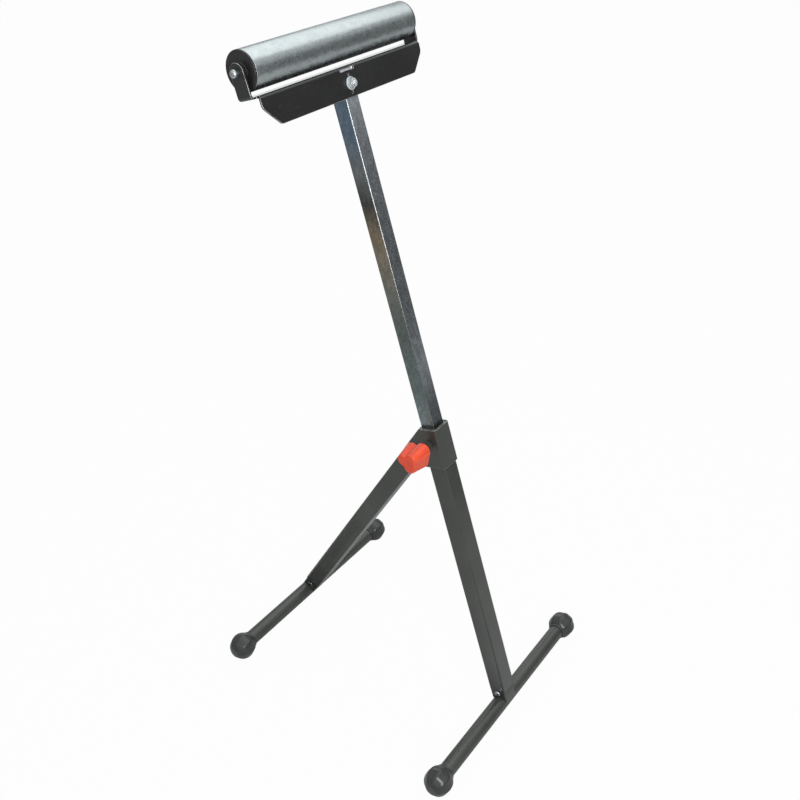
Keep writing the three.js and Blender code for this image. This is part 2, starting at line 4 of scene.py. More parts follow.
import bmesh
import bpy
import numpy as np
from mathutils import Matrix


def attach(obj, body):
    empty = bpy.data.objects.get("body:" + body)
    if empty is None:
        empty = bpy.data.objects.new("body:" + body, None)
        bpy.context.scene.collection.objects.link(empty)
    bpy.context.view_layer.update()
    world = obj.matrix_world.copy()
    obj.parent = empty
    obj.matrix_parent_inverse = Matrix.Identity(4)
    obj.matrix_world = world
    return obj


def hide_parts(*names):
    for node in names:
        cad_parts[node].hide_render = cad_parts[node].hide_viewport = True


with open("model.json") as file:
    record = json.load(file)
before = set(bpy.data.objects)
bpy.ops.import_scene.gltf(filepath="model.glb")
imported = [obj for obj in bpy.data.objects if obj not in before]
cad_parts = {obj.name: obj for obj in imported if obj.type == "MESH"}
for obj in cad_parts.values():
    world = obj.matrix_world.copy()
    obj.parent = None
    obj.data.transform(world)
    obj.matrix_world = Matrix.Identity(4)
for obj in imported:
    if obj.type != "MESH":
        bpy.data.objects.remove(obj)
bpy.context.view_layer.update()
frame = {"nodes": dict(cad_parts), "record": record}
nodes = frame["nodes"]
scene = bpy.context.scene
scene.view_settings.view_transform = "Standard"
print("frame:", len(nodes), "nodes")

# camera at the photograph's viewing angle, metres and degrees
cameraSetup = {
    "place": (-0.87205, -0.64913, 1.29393), "tilt": 54.825, "turn": -53.075,
    "lens": 41.67, "sensor": 36.0,
}
cameraData = bpy.data.cameras.new("standCamera")
cameraData.lens, cameraData.sensor_width = cameraSetup["lens"], cameraSetup["sensor"]
camera = bpy.data.objects.new("standCamera", cameraData)
camera.location = cameraSetup["place"]
camera.rotation_euler = (math.radians(cameraSetup["tilt"]), 0, math.radians(cameraSetup["turn"]))
scene.collection.objects.link(camera)
scene.camera = camera
print("camera placed")


# one socket of a node tree; arithmetic on it adds Math nodes
class Wire:
    def __init__(self, tree, socket):
        self.tree, self.socket = tree, socket

    def maths(self, operation, first, second, clamp=False):
        return self.tree.add("ShaderNodeMath", {"operation": operation, "use_clamp": clamp}, {0: first, 1: second})

    def __add__(self, other):
        return self.maths("ADD", self, other)

    __radd__ = __add__

    def __mul__(self, other):
        return self.maths("MULTIPLY", self, other)

    __rmul__ = __mul__

    def __sub__(self, other):
        return self.maths("SUBTRACT", self, other)

    def __rsub__(self, other):
        return self.maths("SUBTRACT", other, self)

    def __truediv__(self, other):
        return self.maths("DIVIDE", self, other)

    def __pow__(self, other):
        return self.maths("POWER", self, other)

    def clipped(self):
        return self.maths("ADD", self, 0.0, clamp=True)


# a material's node tree with one way to add any node
class Finish:
    def __init__(self, name, roughness, metallic=0.0, coat=0.0, coatRoughness=0.1):
        self.material = bpy.data.materials.new(name)
        self.material.use_nodes = True
        self.tree = self.material.node_tree
        self.shader = self.tree.nodes["Principled BSDF"]
        self.shader.inputs["Roughness"].default_value = roughness
        self.shader.inputs["Metallic"].default_value = metallic
        self.shader.inputs["Coat Weight"].default_value = coat
        self.shader.inputs["Coat Roughness"].default_value = coatRoughness

    def add(self, kind, settings, inputs, output=0):
        node = self.tree.nodes.new(kind)
        for key, value in settings.items():
            if key == "stops":
                self.setStops(node.color_ramp, value)
            else:
                setattr(node, key, value)
        self.feed(node, inputs)
        return Wire(self, node.outputs[output])

    def feed(self, node, inputs):
        for key, value in inputs.items():
            if isinstance(value, Wire):
                self.tree.links.new(value.socket, node.inputs[key])
            else:
                node.inputs[key].default_value = value

    def setStops(self, ramp, stops):
        while len(ramp.elements) < len(stops):
            ramp.elements.new(1.0)
        for element, (spot, shade) in zip(ramp.elements, stops):
            element.position, element.color = spot, (*shade, 1.0)

    def place(self, turn=(0, 0, 0), stretch=(1, 1, 1)):
        spot = self.add("ShaderNodeTexCoord", {}, {}, "Object")
        return self.add("ShaderNodeMapping", {}, {
            "Vector": spot, "Rotation": tuple(math.radians(a) for a in turn), "Scale": stretch})

    def noise(self, at, scale, detail=3.0, rough=0.55):
        return self.add("ShaderNodeTexNoise", {}, {"Vector": at, "Scale": scale, "Detail": detail, "Roughness": rough})

    def part(self, vector, axis):
        return self.add("ShaderNodeSeparateXYZ", {}, {0: vector}, axis)

    def cells(self, at, scale, output="Color"):
        return self.add("ShaderNodeTexVoronoi", {}, {"Vector": at, "Scale": scale}, output)

    def steps(self, value, stops):
        return self.add("ShaderNodeValToRGB", {"stops": stops}, {"Fac": value})

    def band(self, value, low, high):
        return self.add("ShaderNodeMapRange", {"interpolation_type": "SMOOTHSTEP"}, {
            "Value": value, "From Min": low, "From Max": high})

    def blendColour(self, share, first, second, mode="MIX"):
        inputs = {"Factor": share, 6: first, 7: second}
        inputs = {k: (*v, 1.0) if isinstance(v, tuple) else v for k, v in inputs.items()}
        return self.add("ShaderNodeMix", {"data_type": "RGBA", "blend_type": mode}, inputs, 2)

    def bump(self, height, strength, depth, normal=None):
        inputs = {"Height": height, "Strength": strength, "Distance": depth}
        return self.add("ShaderNodeBump", {}, inputs if normal is None else {**inputs, "Normal": normal})

    def tilt(self, cell, amount):  # leans the normal the way of each cell's own random colour
        normal = self.add("ShaderNodeNewGeometry", {}, {}, "Normal")
        away = self.add("ShaderNodeVectorMath", {"operation": "SUBTRACT"}, {0: cell, 1: (0.5, 0.5, 0.5)})
        leaning = self.add("ShaderNodeVectorMath", {"operation": "SCALE"}, {0: away, "Scale": amount})
        joined = self.add("ShaderNodeVectorMath", {"operation": "ADD"}, {0: normal, 1: leaning})
        return self.add("ShaderNodeVectorMath", {"operation": "NORMALIZE"}, {0: joined})

    def done(self, **sockets):
        names = {"colour": "Base Color", "roughness": "Roughness", "metallic": "Metallic",
                 "normal": "Normal", "coat": "Coat Weight"}
        self.feed(self.shader, {names[k]: v for k, v in sockets.items()})
        return self.material


stance = {"depth": 418.5, "barHeight": 21.5, "lean": 18.0, "hingeUp": 475.5, "hingeBack": 30.5}  # millimetres
mm = 0.001
lean = math.radians(stance["lean"])
hingeY = stance["hingeUp"] * math.sin(lean) + stance["hingeBack"] * math.cos(lean)
hingeZ = stance["hingeUp"] * math.cos(lean) - stance["hingeBack"] * math.sin(lean)
rearLength = math.hypot(stance["depth"] - hingeY, hingeZ)
rearAngle = math.atan2(stance["depth"] - hingeY, hingeZ)
openAngle = lean + rearAngle


def legPlace(y, angle):  # x across, y to the rear of the leg, z up along it
    c, s = math.cos(angle), math.sin(angle)
    return {"origin": np.array([0, y, stance["barHeight"]]),
            "axes": np.array([[1, 0, 0], [0, c, -s], [0, s, c]])}


mainPlace = legPlace(-stance["depth"] / 2, lean)
rearPlace = legPlace(stance["depth"] / 2, -rearAngle)

# powder coat: dark colour, faint cloudiness, orange peel, dust specks
paintSetup = {
    "darkPaint": {"shade": (0.028, 0.031, 0.026), "lift": (0.041, 0.0445, 0.038), "rough": 0.42,
                  "coat": 0.5, "coatRough": 0.15, "wear": 0.6},
    "blackPaint": {"shade": (0.0045, 0.0045, 0.0040), "lift": (0.0085, 0.0085, 0.0078), "rough": 0.4,
                   "coat": 0.6, "coatRough": 0.07, "wear": 0.85},
}


def powderCoat(name, setup):
    f = Finish(name, setup["rough"], coat=setup["coat"], coatRoughness=setup["coatRough"])
    at = f.place()
    cloud = f.noise(at, 14.0, 4.0)
    peel = f.noise(at, 900.0, 2.0)
    speck = f.band(f.noise(at, 420.0, 1.0), 0.68, 0.74)
    colour = f.blendColour(f.band(cloud, 0.3, 0.7), setup["shade"], setup["lift"])
    colour = f.blendColour(speck * 0.25, colour, (0.12, 0.12, 0.12))
    edge = f.add("ShaderNodeAttribute", {"attribute_name": "edgeWear"}, {}, "Fac")
    bare = edge * f.band(f.noise(at, 75.0, 3.0), 0.25, 0.6) * setup["wear"]
    colour = f.blendColour(bare, colour, (0.62, 0.63, 0.61))
    rough = setup["rough"] - 0.06 + cloud * 0.16 + peel * 0.06
    return f.done(colour=colour, roughness=rough, metallic=bare, normal=f.bump(peel + cloud * 0.4, 0.2, 0.0004))


# zinc plate: spangle cells, each of its own grey and leaning its own way, under faint clouds
zincSetup = {
    "zincRoller": {"dark": (0.45, 0.495, 0.505), "mid": (0.50, 0.55, 0.55), "pale": (0.55, 0.60, 0.595),
                   "cell": 220.0, "tilt": 0.085, "stretch": (0.8, 1, 1), "turn": (0, 0, 0), "rough": 0.27,
                   "calm": (1.006, 1.020)},
    "zincPost": {"dark": (0.36, 0.385, 0.41), "mid": (0.45, 0.48, 0.51), "pale": (0.58, 0.62, 0.67),
                 "cell": 260.0, "tilt": 0.04, "stretch": (1, 1, 0.5), "turn": (stance["lean"], 0, 0),
                 "rough": 0.26, "half": 0.0115, "corner": 0.0013, "back": 0.20565},
}

# painted light on the post by height in metres: painted shade on the front just above the leg, a painted highlight
# near its top, and painted reflections in bands of grey, warm brown, dark and bluish tone on the left side
postPaintedLight = {
    "front": [(0.46, (0.6, 0.6, 0.6)), (0.50, (0.2, 0.21, 0.2)), (0.54, (0.3, 0.31, 0.3)),
              (0.60, (0.75, 0.76, 0.74)), (0.95, (1.0, 1.0, 1.0)), (0.968, (2.0, 2.0, 2.0))],
    "side": [(0.50, (0.62, 0.68, 0.65)), (0.56, (0.37, 0.43, 0.39)), (0.65, (0.34, 0.38, 0.34)),
             (0.70, (0.53, 0.51, 0.42)), (0.775, (0.72, 0.54, 0.36)), (0.818, (0.21, 0.20, 0.175)),
             (0.855, (0.58, 0.57, 0.53)), (0.90, (0.46, 0.58, 0.70))],
}


def zincSpangle(name, setup):
    f = Finish(name, setup["rough"], metallic=1.0)
    at = f.place(setup["turn"], setup["stretch"])
    wander = f.add("ShaderNodeTexNoise", {}, {"Vector": at, "Scale": 240.0}, "Color")
    warp = f.add("ShaderNodeMix", {"data_type": "VECTOR"}, {"Factor": 0.004, 4: at, 5: wander}, 1)
    flake = f.cells(warp, setup["cell"])
    grain = f.cells(warp, setup["cell"] * 2.7)
    flakeTone = f.add("ShaderNodeSeparateColor", {}, {"Color": flake}, "Red")
    grainTone = f.add("ShaderNodeSeparateColor", {}, {"Color": grain}, "Green")
    cloud = f.noise(at, 30.0, 4.0)
    tone = flakeTone * 0.4 + grainTone * 0.25 + cloud * 0.5 - 0.08
    colour = f.steps(tone, [(0.2, setup["dark"]), (0.5, setup["mid"]), (0.8, setup["pale"])])
    rough = setup["rough"] - 0.05 + grainTone * 0.1 + cloud * 0.08
    lean = setup["tilt"]
    if "calm" in setup:  # the spangle is finer along one side of the rolled tube
        calm = f.band(f.part(f.place(), "Z"), *setup["calm"])
        lean = (1.0 - calm * 0.75) * lean
    if "half" in setup:
        low, high = setup["half"] - setup["corner"], setup["half"] - 0.4 * setup["corner"]
        left = f.band(0.0 - f.part(f.place(), "X"), low, high)
        front = f.band(-setup["back"] - f.part(f.place(setup["turn"]), "Y"), low, high)
        height = f.part(f.place(), "Z") + (cloud - 0.5) * 0.03
        # painted highlight: a pale, rougher, untilted strip along the post's front-left corner, fading out towards the
        # bottom
        edge = left * front * f.band(height, 0.58, 0.9)
        # painted shade, painted highlight and painted reflections by height, multiplied into the zinc's colour
        paintedLightTint = f.blendColour(left, f.steps(height, postPaintedLight["front"]), f.steps(height, postPaintedLight["side"]))
        colour = f.blendColour(1.0, colour, paintedLightTint, "MULTIPLY")
        colour = f.blendColour(edge, colour, (0.66, 0.69, 0.70))
        rough = rough + edge * 0.16
        lean = (1.0 - edge) * lean
    scratch = f.noise(f.place(setup["turn"], tuple(8 * s for s in setup["stretch"])), 160.0, 2.0)
    return f.done(colour=colour, roughness=rough, normal=f.bump(scratch, 0.05, 0.0003, f.tilt(flake, lean)))


def brightPlate(name, shine, metallic=1.0):  # bright zinc fasteners, slightly clouded
    f = Finish(name, 0.25, metallic=metallic)
    at = f.place()
    cloud = f.noise(at, 130.0, 4.0)
    stops = [(0.25, (0.38, 0.41, 0.43)), (0.6, (0.58, 0.62, 0.64)), (0.9, (0.74, 0.77, 0.78))]
    colour = f.steps(cloud, [(spot, tuple(shine * c for c in shade)) for spot, shade in stops])
    return f.done(colour=colour, roughness=0.16 + cloud * 0.2, normal=f.bump(f.noise(at, 1500.0), 0.05, 0.0003))


# moulded plastics: flow clouding, a fine grain and slight rubbing
plasticSetup = {
    "blackPlastic": {"shade": (0.014, 0.014, 0.013), "lift": (0.025, 0.025, 0.024), "rough": 0.3, "grain": 1300.0},
    # the guide bush's black plastic painted lighter: painted light in its shaded recess
    "litBlackPlastic": {"shade": (0.13, 0.14, 0.135), "lift": (0.18, 0.19, 0.185), "rough": 0.3, "grain": 1300.0},
    "darkPlastic": {"shade": (0.028, 0.0305, 0.028), "lift": (0.043, 0.0455, 0.042), "rough": 0.22, "grain": 1000.0},
    "orangePlastic": {"shade": (0.70, 0.058, 0.018), "lift": (0.80, 0.078, 0.026), "rough": 0.33, "grain": 1100.0},
}


def mouldedPlastic(name, setup):
    f = Finish(name, setup["rough"])
    at = f.place()
    flow = f.noise(at, 45.0, 3.0)
    grain = f.noise(at, setup["grain"], 2.0)
    rub = f.band(f.noise(at, 160.0, 4.0, 0.7), 0.56, 0.75)
    colour = f.blendColour(f.band(flow, 0.3, 0.7), setup["shade"], setup["lift"])
    return f.done(colour=colour, roughness=setup["rough"] - 0.05 + rub * 0.14 + grain * 0.08,
                  normal=f.bump(grain + rub * 0.3, 0.14, 0.0003))


finishes = {name: powderCoat(name, setup) for name, setup in paintSetup.items()}
finishes.update({name: zincSpangle(name, setup) for name, setup in zincSetup.items()})
finishes.update({name: mouldedPlastic(name, setup) for name, setup in plasticSetup.items()})
finishes["brightZinc"] = brightPlate("brightZinc", 1.0)
# bright zinc painted darker for the rear foot screw: painted shade
finishes["shadedZinc"] = brightPlate("shadedZinc", 0.3)
finishes["clearZinc"] = brightPlate("clearZinc", 1.2, 0.45)
slotOf = {"darkPaint": "dark_paint", "blackPaint": "black_paint", "zincRoller": "zinc_roller",
          "zincPost": "zinc_post", "brightZinc": "bright_zinc", "blackPlastic": "black_plastic",
          "darkPlastic": "dark_plastic", "orangePlastic": "orange_plastic", "shadedZinc": "bright_zinc", "clearZinc": "bright_zinc",
          "litBlackPlastic": "black_plastic"}
bodyOf = {node: body for body, members in frame["record"]["behaviour"]["bodies"].items() for node in members}
print("finishes:", len(finishes))


# quads of a rows by columns grid; columns, and rows if asked, close on themselves
def gridFaces(rows, columns, rowsClose=False, columnsClose=True):
    r, c = np.meshgrid(np.arange(rows if rowsClose else rows - 1),
                       np.arange(columns if columnsClose else columns - 1), indexing="ij")
    r2, c2 = (r + 1) % rows, (c + 1) % columns
    return np.stack([r * columns + c, r * columns + c2, r2 * columns + c2, r2 * columns + c], -1).reshape(-1, 4)


# profile through (a, r, rounding) corners; a rounded corner becomes an arc tangent to both sides
def rounded(corners, steps=5, closed=False):
    spots = np.array([c[:2] for c in corners], float)
    line = []
    for i, corner in enumerate(corners):
        radius = corner[2] if len(corner) > 2 else 0.0
        if radius == 0.0 or (not closed and i in (0, len(corners) - 1)):
            line.append(spots[i][None])
            continue
        back = spots[i - 1] - spots[i]
        ahead = spots[(i + 1) % len(spots)] - spots[i]
        back, ahead = back / np.linalg.norm(back), ahead / np.linalg.norm(ahead)
        half = math.acos(np.clip(back @ ahead, -1, 1)) / 2
        middle = spots[i] + (back + ahead) / np.linalg.norm(back + ahead) * radius / math.sin(half)
        start = spots[i] + back * radius / math.tan(half) - middle
        end = spots[i] + ahead * radius / math.tan(half) - middle
        first, sweep = math.atan2(start[1], start[0]), math.atan2(np.cross(start, end), start @ end)
        turn = first + sweep * np.linspace(0, 1, steps + 1)
        line.append(middle + radius * np.stack([np.cos(turn), np.sin(turn)], -1))
    return np.concatenate(line)


# turned shape: point(i, t) = middle + a_i along the axis + r_i(t) * (cos t, sin t) round it
def turned(profile, middle, axis="x", turns=96, shape=None, closed=False):
    a, r = np.asarray(profile, float).T
    t = np.asarray(turns) if np.ndim(turns) else np.arange(turns) * (2 * math.pi / turns)
    along = np.repeat(a[:, None], len(t), 1)
    radius = np.repeat(r[:, None], len(t), 1)
    if shape:
        radius = shape(radius, t[None, :], along)
    up, side = radius * np.cos(t), radius * np.sin(t)
    columns = {"x": (along, side, up), "y": (side, along, up)}[axis]
    return np.stack(columns, -1).reshape(-1, 3) + np.array(middle), gridFaces(len(a), len(t), closed)


# meshes the shells, merges poles and seams, turns faces outwards, shades smooth below the crease angle
def makePiece(name, shells, place, finish, stands, crease=32.0, floorCut=False):
    counts = np.cumsum([0] + [len(p) for p, _ in shells])
    points = np.concatenate([p for p, _ in shells])
    faces = np.concatenate([f + n for (_, f), n in zip(shells, counts)])
    points = (place["origin"] + points @ place["axes"]) * mm
    if floorCut:
        points[:, 2] = np.maximum(points[:, 2], 0.0)
    mesh = bpy.data.meshes.new(name)
    mesh.vertices.add(len(points))
    mesh.vertices.foreach_set("co", points.ravel())
    mesh.loops.add(faces.size)
    mesh.loops.foreach_set("vertex_index", faces.ravel())
    mesh.polygons.add(len(faces))
    mesh.polygons.foreach_set("loop_start", np.arange(0, faces.size, 4))
    mesh.update(calc_edges=True)
    return dress(name, mesh, finish, stands, crease)


def dress(name, mesh, finish, stands, crease):
    work = bmesh.new()
    work.from_mesh(mesh)
    bmesh.ops.remove_doubles(work, verts=work.verts, dist=2e-6)
    bmesh.ops.dissolve_degenerate(work, edges=work.edges, dist=1e-6)
    bmesh.ops.recalc_face_normals(work, faces=work.faces)
    work.to_mesh(mesh)
    work.free()
    mesh.polygons.foreach_set("use_smooth", np.ones(len(mesh.polygons), bool))
    mesh.set_sharp_from_angle(angle=math.radians(crease))
    mesh.materials.clear()
    mesh.materials.append(finishes[finish])
    thing = bpy.data.objects.new(name, mesh)
    scene.collection.objects.link(thing)
    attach(thing, bodyOf[stands[0]])
    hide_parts(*stands)
    return thing


def smoothStep(x, low, high):
    t = np.clip((x - low) / (high - low), 0, 1)
    return t * t * (3 - 2 * t)


# roller, end caps, bushes, axle and push caps; the roller rests against the left ear
rollerSetup = {"up": 1033.5, "back": 2.6, "radius": 23.5, "length": 289.3, "endPlay": 2.15, "wall": 1.2, "edge": 0.4,
               "flange": 2.5, "rim": 4.5, "dish": 0.8, "hub": 9.5, "plug": 14.0, "gap": 0.3, "bushFlange": 2.9,
               "axle": 3.0, "capWall": 1.7, "earInner": 152.8, "sheet": 2.5, "stub": 4.0, "crown": 4.4}


def makeRoller(s):
    middle = (0, s["back"], s["up"])
    left, right = -s["length"] / 2 - s["endPlay"], s["length"] / 2 - s["endPlay"]
    bore = s["radius"] - s["wall"]
    tube = rounded([(left, s["radius"], s["edge"]), (right, s["radius"], s["edge"]), (right, bore), (left, bore)],
                   closed=True)
    makePiece("rollerTube", [turned(tube, middle, turns=192, closed=True)], mainPlace, "zincRoller", ["roller_tube"])
    hubBore, plug, gap = s["axle"] + 2 * s["gap"] + 1.7, s["radius"] - s["wall"] - s["gap"], s["gap"]
    cap = rounded([
        (-s["plug"], hubBore), (-s["plug"], s["hub"]), (0, s["hub"]), (0, plug - 2), (-s["plug"], plug - 2),
        (-s["plug"], plug), (gap, plug), (gap, s["radius"], 0.3), (s["flange"], s["radius"], 1.5),
        (s["flange"], s["radius"] - s["rim"], 0.5), (s["flange"] - s["dish"], s["radius"] - s["rim"] - s["dish"], 0.5),
        (s["flange"] - s["dish"], s["hub"] + s["dish"], 0.5), (s["flange"], s["hub"], 0.4), (s["flange"], hubBore)],
        closed=True)
    axleBore, bushSeat = s["axle"] + gap, s["flange"] + gap
    bushEnd = bushSeat + s["bushFlange"]
    bush = rounded([(bushSeat - 13, axleBore), (bushSeat - 13, axleBore + 1.7, 0.4), (bushSeat, axleBore + 1.7),
                    (bushSeat, axleBore + 3.7, 0.5), (bushEnd, axleBore + 3.7, 0.5), (bushEnd, axleBore)], closed=True)
    earOuter = s["earInner"] + s["sheet"]
    seat, stubEnd, capRadius = earOuter + gap, earOuter + s["stub"], axleBore + s["capWall"]
    arc = np.radians(np.linspace(0, 90, 13))  # push cap: a skirt closed by a quarter ellipse
    skirt = [(stubEnd + gap, 0), (stubEnd + gap, axleBore), (seat, axleBore), (seat, capRadius)]
    dome = np.concatenate([skirt, np.stack([stubEnd + s["crown"] * np.sin(arc), capRadius * np.cos(arc)], -1)])
    for side, sign, face in (("left", -1, left), ("right", 1, right)):
        flip = np.array([sign, 1])
        makePiece("rollerEndCap." + side, [turned(cap * flip + [face, 0], middle, closed=True)], mainPlace,
                  "blackPlastic", ["roller_end_cap_" + side])
        makePiece("rollerBush." + side, [turned(bush * flip + [face, 0], middle, turns=48, closed=True)], mainPlace,
                  "blackPlastic", ["roller_bush_" + side])
        makePiece("axleCap." + side, [turned(dome * flip, middle, turns=64)], mainPlace, "brightZinc",
                  ["axle_cap_" + side])
    rod = rounded([(-stubEnd, 0), (-stubEnd, s["axle"], 0.5), (stubEnd, s["axle"], 0.5), (stubEnd, 0)])
    makePiece("axleRod", [turned(rod, middle, turns=48)], mainPlace, "brightZinc", ["axle"])


makeRoller(rollerSetup)
print("roller made")

# ball feet: a sphere on a socket neck with flat facets that fade at neck and end;
# the facets' outline is 1 / (sum of cos(t - facet)^sharp)^(1 / sharp), which rounds the ridges between them
ballSetup = {"radius": 22.3, "bar": 12.5, "gap": 0.3, "insert": 8.0, "neckWall": 1.6, "neckReach": 19.5,
             "count": 8, "depth": 1.15, "sharp": 32.0, "tip": 68.0, "front": 380.0, "rear": 366.0}


def facetDip(t, count, sharp):  # 0 on a ridge, near 1 in the middle of a facet
    middles = math.pi + (np.arange(count) + 0.5) * 2 * math.pi / count
    near = np.maximum(np.cos(t[..., None] - middles), 0) ** sharp
    reach = 1 / near.sum(-1) ** (1 / sharp)
    return (reach.max() - reach) / (reach.max() - reach.min())


def makeBalls(s):
    big, bore = s["radius"], s["bar"] + s["gap"]
    neck = bore + s["neckWall"]
    start, tip = -math.acos(neck / big), math.radians(s["tip"])
    arc = np.linspace(start, tip, 34)
    sphere = np.stack([big * np.sin(arc), big * np.cos(arc)], -1)
    endFace = rounded([tuple(sphere[-2]), (sphere[-1][0], sphere[-1][1], 0.8), (sphere[-1][0] + 0.7, 0)], 5)[1:]
    socket = rounded([(s["insert"] + s["gap"], 0), (s["insert"] + s["gap"], bore), (-s["neckReach"], bore),
                      (-s["neckReach"], neck, 0.6), (sphere[0][0], neck)])
    profile = np.concatenate([socket[:-1], sphere[:-1], endFace])

    def makeBall(row, y, side, sign):
        def facets(radius, t, along):
            outer = (radius > bore + 0.01) | (along * sign > s["insert"] + 1)
            rise = smoothStep(along * sign, -big * 0.75, -big * 0.35)
            fall = smoothStep(radius, big * 0.3, big * 0.75)
            return radius - np.where(outer, s["depth"] * rise * fall * facetDip(t, s["count"], s["sharp"]), 0)

        level = {"origin": np.array([sign * s[row] / 2, y, stance["barHeight"]]), "axes": np.eye(3)}
        shell = turned(profile * [sign, 1], (0, 0, 0), turns=192, shape=facets)
        makePiece(f"ballFoot.{row}.{side}", [shell], level, "darkPlastic", [f"{row}_{side}_ball_foot"], floorCut=True)

    for row, y in (("front", -stance["depth"] / 2), ("rear", stance["depth"] / 2)):
        makeBall(row, y, "left", -1)
        makeBall(row, y, "right", 1)


makeBalls(ballSetup)
print("ball feet made")


# rounded square section: even spots along each side, an arc at each corner
def squareSection(half, corner, spots=17):
    flat = half - corner
    turn = np.radians([7, 14.5, 30, 45, 60, 75.5, 83])
    side = np.stack([np.full(spots, half), np.linspace(-flat, flat, spots)], -1)
    bend = np.stack([flat + corner * np.cos(turn), flat + corner * np.sin(turn)], -1)
    quarter = np.concatenate([side, bend])
    return np.concatenate([quarter, quarter[:, ::-1] * [-1, 1], -quarter, quarter[:, ::-1] * [1, -1]])


# square tube: each row is the section at some inset, at height low(x, y) or high(x, y) plus a small rise
def squareTube(half, corner, wall, low, high, edge=0.3):
    outline = squareSection(half, corner)
    ends = {"low": low(*outline.T), "high": high(*outline.T)}
    rows = [(0, "low", edge), (0, "high", -edge), (0.3 * edge, "high", -0.3 * edge), (edge, "high", 0),
            (wall - edge, "high", 0), (wall - 0.3 * edge, "high", -0.3 * edge), (wall, "high", -edge),
            (wall, "low", edge), (wall - 0.3 * edge, "low", 0.3 * edge), (wall - edge, "low", 0),
            (edge, "low", 0), (0.3 * edge, "low", 0.3 * edge)]
    layers = [np.column_stack([squareSection(half - inset, max(corner - inset, 0.3)), ends[end] + rise])
              for inset, end, rise in rows]
    return np.concatenate(layers), gridFaces(len(rows), len(outline), True)


# legs, foot bars, guide bush and post
legSetup = {"half": 14.25, "corner": 2.0, "wall": 1.2, "top": 508.0, "forkTop": 24.0, "tongue": 7.0,
            "tongueHalf": 12.6, "bar": 12.5, "barWall": 1.5, "gap": 0.3, "stop": 15.95, "barInsert": 8.0,
            "lugHalf": 12.75, "lugCorner": 0.8, "lugWall": 2.0, "lugTop": 31.0,
            "guideFlange": 1.6, "guideDepth": 14.0, "guideBore": 11.8, "guideBoreCorner": 1.6,
            "postHalf": 11.5, "postCorner": 1.3, "postBottom": 400.0, "postTop": 1002.3}


def level(height):
    return lambda x, y: x * 0 + height


def makeLegs(s):
    coped = s["bar"] + s["gap"]

    def fork(x, y):  # the side walls run on over the bar as tongues with a round cope
        cope = np.sqrt(np.maximum(coped ** 2 - y ** 2, 0))
        return np.where(np.abs(y) > s["tongueHalf"], s["forkTop"], np.maximum(cope, s["tongue"]))

    tipY, tipZ = -s["stop"] * math.cos(openAngle), s["stop"] * math.sin(openAngle)

    def mitre(x, y):  # a straight slant from the stop's tip, and an arc round the hinge in front of it
        arc = np.sqrt(np.maximum(s["stop"] ** 2 - y ** 2, 0))
        return rearLength + np.where(y < tipY, arc, tipZ + (y - tipY) / math.tan(openAngle))

    tube = (s["half"], s["corner"], s["wall"])
    makePiece("mainLeg", [squareTube(*tube, fork, level(s["top"]))], mainPlace, "darkPaint", ["main_leg"])
    makePiece("rearLeg", [squareTube(*tube, fork, mitre)], rearPlace, "darkPaint", ["rear_leg"])
    saddle = lambda x, y: np.sqrt(np.maximum((s["bar"] - 0.2) ** 2 - y ** 2, 0))
    lug = squareTube(s["lugHalf"], s["lugCorner"], s["lugWall"], saddle, level(s["lugTop"]))
    for row, place in (("front", mainPlace), ("rear", rearPlace)):
        end, bore = ballSetup[row] / 2 + s["barInsert"], s["bar"] - s["barWall"]
        bar = rounded([(-end, s["bar"], 0.4), (end, s["bar"], 0.4), (end, bore), (-end, bore)], closed=True)
        makePiece(row + "FootBar", [turned(bar, (0, 0, 0), turns=128, closed=True), lug], place, "darkPaint",
                  [row + "_foot_bar"])
    post = squareTube(s["postHalf"], s["postCorner"], s["wall"], level(s["postBottom"]), level(s["postTop"]))
    makePiece("slidingPost", [post], mainPlace, "zincPost", ["post"])

    flangeLow, flangeTop = s["top"] + s["gap"], s["top"] + s["gap"] + s["guideFlange"]
    collarLow = s["top"] - s["guideDepth"]
    rows = [(s["half"], s["corner"], flangeLow), (s["half"], s["corner"], flangeTop - 0.5),
            (s["half"] - 0.15, s["corner"] - 0.15, flangeTop - 0.15), (s["half"] - 0.5, s["corner"] - 0.5, flangeTop),
            (s["guideBore"] + 0.4, s["guideBoreCorner"] + 0.4, flangeTop),
            (s["guideBore"], s["guideBoreCorner"], flangeTop - 0.4),
            (s["guideBore"], s["guideBoreCorner"], collarLow), (s["lugHalf"], s["lugCorner"], collarLow),
            (s["lugHalf"], s["lugCorner"], flangeLow)]
    layers = [np.column_stack([squareSection(half, corner), np.full(96, height)]) for half, corner, height in rows]
    bush = np.concatenate(layers), gridFaces(len(rows), 96, True)
    makePiece("legGuideBush", [bush], mainPlace, "litBlackPlastic", ["leg_guide_bush"])


makeLegs(legSetup)
print("legs, bars and post made")


# hexagon: r = half the width across flats / cos(angle from the middle of a side)
def hexShape(flats, turn=0.0):
    def shape(radius, t, along):
        off = np.mod(t - math.radians(turn), math.pi / 3) - math.pi / 6
        return np.minimum(radius, flats / 2 / np.cos(off))
    return shape


# thread: ridges of a triangle wave that winds once round the shank per pitch
def threadShape(size, pitch, first, last):
    def shape(radius, t, along):
        wave = np.abs(2 * np.mod(along / pitch - t / (2 * math.pi), 1) - 1)
        cut = (np.abs(radius - size) < 0.01) & (np.abs(along) > first) & (np.abs(along) < last)
        return np.where(cut, radius - 0.5 * pitch * wave, radius)
    return shape


def bothShapes(first, second):
    return lambda radius, t, along: second(first(radius, t, along), t, along)


def coneRows(flats, start, inward):  # chamfered end of a hexagon: a 30 degree cone out to its corners
    radius = np.linspace(0.475 * flats, flats / math.sqrt(3), 6)
    return np.stack([start + inward * (radius - radius[0]) * math.tan(math.radians(30)), radius], -1)


